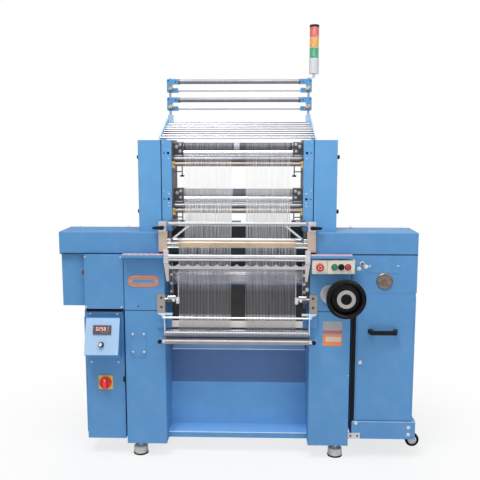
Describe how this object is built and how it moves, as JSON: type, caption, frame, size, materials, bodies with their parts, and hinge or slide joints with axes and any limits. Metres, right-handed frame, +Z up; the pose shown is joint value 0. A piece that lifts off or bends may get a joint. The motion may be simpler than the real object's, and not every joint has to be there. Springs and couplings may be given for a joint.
{
  "type": "warp knitting machine",
  "caption": "Free-standing narrow-fabric warp knitting machine with twin pillars, feed towers, needle bed, take-down rollers, handwheel and control cabinets.",
  "frame": {"origin": "on the floor, under the middle of the machine's outer box", "axes": "+Z up, +Y from the operator's side to the back, +X to the operator's right"},
  "size_m": [1.943, 0.633, 2.325],
  "materials": {
    "blue_paint": "semi-gloss stoved paint",
    "door_paint": "semi-gloss stoved paint",
    "pale_blue_paint": "gloss paint",
    "ground_steel": "ground",
    "chrome_rods": "polished",
    "rough_roller": "matt",
    "tan_plate": "zinc plated",
    "brass": "machined",
    "grey_paint": "satin",
    "black_plastic": "moulded",
    "wheel_black": "polished",
    "cream_plastic": "moulded",
    "red_plastic": "moulded",
    "green_plastic": "moulded",
    "green_glass": "ribbed lens",
    "amber_glass": "ribbed lens",
    "red_glass": "ribbed lens",
    "knob_metal": "turned",
    "yarn": "twisted yarn",
    "motor_paint": "cast and painted",
    "pulley_iron": "turned",
    "belt_rubber": "matt",
    "caster_steel": "zinc plated",
    "caster_tyre": "moulded"
  },
  "bodies": {
    "frame": {"amber_lens": "amber_glass", "black_knobs": "black_plastic", "bracket_plates": "tan_plate", "brass_clamps": "brass", "button_boxes": "cream_plastic", "cabinet_plinth": "blue_paint", "cross_members": "blue_paint", "drive_belt": "belt_rubber", "electric_cabinet": "blue_paint", "fabric_web": "yarn", "fan_brackets": "blue_paint", "fan_rods": "chrome_rods", "front_bars": "ground_steel", "gear_cover_plate": "blue_paint", "green_lens": "green_glass", "guard_strip": "ground_steel", "guide_tubes": "chrome_rods", "head_castings": "blue_paint", "inverter": "motor_paint", "levelling_feet": "ground_steel", "main_motor": "motor_paint", "needle_bed": "tan_plate", "pillars": "blue_paint", "red_lens": "red_glass", "right_cabinet": "blue_paint", "roller_brackets": "ground_steel", "round_covers": "ground_steel", "shelves": "blue_paint", "signal_light_base": "grey_paint", "takedown_brackets": "pale_blue_paint", "top_bar": "ground_steel", "top_covers": "blue_paint", "top_frame": "grey_paint", "top_yarn_rods": "chrome_rods", "towers": "blue_paint", "warp_sheets": "yarn"},
    "handwheel": {"handwheel": "wheel_black"},
    "upper_feed_roller": {"upper_feed_roller": "rough_roller"},
    "upper_press_roller": {"upper_press_roller": "chrome_rods"},
    "lower_feed_roller": {"lower_feed_roller": "rough_roller"},
    "lower_press_roller": {"lower_press_roller": "chrome_rods"},
    "takedown_roller": {"takedown_roller": "chrome_rods"},
    "takedown_press_roller": {"takedown_press_roller": "chrome_rods"},
    "swing_guide": {"swing_guide": "pale_blue_paint"},
    "emergency_stop": {"emergency_stop": "red_plastic"},
    "start_button": {"start_button": "green_plastic"},
    "jog_button": {"jog_button": "black_plastic"},
    "stop_button": {"stop_button": "red_plastic"},
    "electric_door": {"electric_door": "door_paint"},
    "speed_knob": {"speed_knob": "knob_metal"},
    "main_switch": {"main_switch": "red_plastic"},
    "cabinet_door": {"cabinet_door": "door_paint"},
    "caster_fork": {"caster_fork": "caster_steel"},
    "caster_wheel": {"caster_wheel": "caster_tyre"},
    "left_clamp_lever": {"left_clamp_lever": "black_plastic"},
    "right_clamp_lever": {"right_clamp_lever": "black_plastic"},
    "needle_bar": {"needle_bar": "ground_steel"},
    "guide_bar": {"guide_bar": "ground_steel"},
    "main_pulley": {"main_pulley": "pulley_iron"},
    "motor_pulley": {"motor_pulley": "pulley_iron"}
  },
  "joints": [
    {"name": "handwheel_turn", "type": "hinge", "parent": "frame", "child": "handwheel", "pos_m": [0.5115, -0.1835, 0.908], "axis": [0, 1, 0], "continuous": true},
    {"name": "upper_feed_turn", "type": "hinge", "parent": "frame", "child": "upper_feed_roller", "pos_m": [-0.0405, 0.0065, 1.668], "axis": [1, 0, 0], "continuous": true},
    {"name": "upper_press_turn", "type": "hinge", "parent": "frame", "child": "upper_press_roller", "pos_m": [-0.0405, -0.00603, 1.6316], "axis": [1, 0, 0], "continuous": true},
    {"name": "lower_feed_turn", "type": "hinge", "parent": "frame", "child": "lower_feed_roller", "pos_m": [-0.0405, 0.0065, 1.424], "axis": [1, 0, 0], "continuous": true},
    {"name": "lower_press_turn", "type": "hinge", "parent": "frame", "child": "lower_press_roller", "pos_m": [-0.0405, -0.00603, 1.3876], "axis": [1, 0, 0], "continuous": true},
    {"name": "takedown_turn", "type": "hinge", "parent": "frame", "child": "takedown_roller", "pos_m": [-0.0405, -0.1715, 0.698], "axis": [1, 0, 0], "continuous": true},
    {"name": "press_arm_swing", "type": "hinge", "parent": "frame", "child": "swing_guide", "pos_m": [-0.0405, -0.2175, 0.792], "axis": [1, 0, 0], "range_deg": [-25, 0]},
    {"name": "takedown_press_turn", "type": "hinge", "parent": "swing_guide", "child": "takedown_press_roller", "pos_m": [-0.0405, -0.2061, 0.698], "axis": [1, 0, 0], "continuous": true},
    {"name": "emergency_stop_press", "type": "slide", "parent": "frame", "child": "emergency_stop", "axis": [0, 1, 0], "range_m": [0, 0.005]},
    {"name": "start_button_press", "type": "slide", "parent": "frame", "child": "start_button", "axis": [0, 1, 0], "range_m": [0, 0.004], "stiffness_N_per_m": 400},
    {"name": "jog_button_press", "type": "slide", "parent": "frame", "child": "jog_button", "axis": [0, 1, 0], "range_m": [0, 0.004], "stiffness_N_per_m": 400},
    {"name": "stop_button_press", "type": "slide", "parent": "frame", "child": "stop_button", "axis": [0, 1, 0], "range_m": [0, 0.004], "stiffness_N_per_m": 400},
    {"name": "electric_door_swing", "type": "hinge", "parent": "frame", "child": "electric_door", "pos_m": [-0.8505, -0.157, 0], "axis": [0, 0, -1], "range_deg": [0, 105]},
    {"name": "speed_knob_turn", "type": "hinge", "parent": "electric_door", "child": "speed_knob", "pos_m": [-0.747, -0.23411, 0.642], "axis": [0, -0.9355, 0.3534], "range_deg": [-150, 150]},
    {"name": "main_switch_turn", "type": "hinge", "parent": "electric_door", "child": "main_switch", "pos_m": [-0.747, -0.1835, 0.412], "axis": [0, 1, 0], "range_deg": [0, 90]},
    {"name": "cabinet_door_swing", "type": "hinge", "parent": "frame", "child": "cabinet_door", "pos_m": [0.8875, -0.167, 0], "axis": [0, 0, 1], "range_deg": [0, 105]},
    {"name": "caster_swivel", "type": "hinge", "parent": "frame", "child": "caster_fork", "pos_m": [0.8955, 0.0065, 0.115], "axis": [0, 0, 1], "continuous": true},
    {"name": "caster_roll", "type": "hinge", "parent": "caster_fork", "child": "caster_wheel", "pos_m": [0.9335, 0.0065, 0.0385], "axis": [0, 1, 0], "continuous": true},
    {"name": "left_lever_turn", "type": "hinge", "parent": "frame", "child": "left_clamp_lever", "pos_m": [-0.4265, -0.1835, 1.252], "axis": [0, 1, 0], "range_deg": [-60, 60]},
    {"name": "right_lever_turn", "type": "hinge", "parent": "frame", "child": "right_clamp_lever", "pos_m": [0.3455, -0.1835, 1.252], "axis": [0, 1, 0], "range_deg": [-60, 60]},
    {"name": "needle_bar_stroke", "type": "slide", "parent": "frame", "child": "needle_bar", "axis": [0, 1, 0], "range_m": [0, 0.014]},
    {"name": "guide_bar_shog", "type": "slide", "parent": "frame", "child": "guide_bar", "axis": [1, 0, 0], "range_m": [-0.008, 0.008]},
    {"name": "main_shaft_turn", "type": "hinge", "parent": "frame", "child": "main_pulley", "pos_m": [-0.0405, -0.0535, 1.01], "axis": [1, 0, 0], "continuous": true},
    {"name": "motor_turn", "type": "hinge", "parent": "frame", "child": "motor_pulley", "pos_m": [-0.0405, -0.0535, 0.333], "axis": [1, 0, 0], "continuous": true}
  ],
  "couplings": [
    {"joint": "upper_press_turn", "follows": "upper_feed_turn", "ratio": -1},
    {"joint": "lower_press_turn", "follows": "lower_feed_turn", "ratio": -1},
    {"joint": "main_shaft_turn", "follows": "handwheel_turn", "ratio": 1},
    {"joint": "motor_turn", "follows": "handwheel_turn", "ratio": 2}
  ]
}
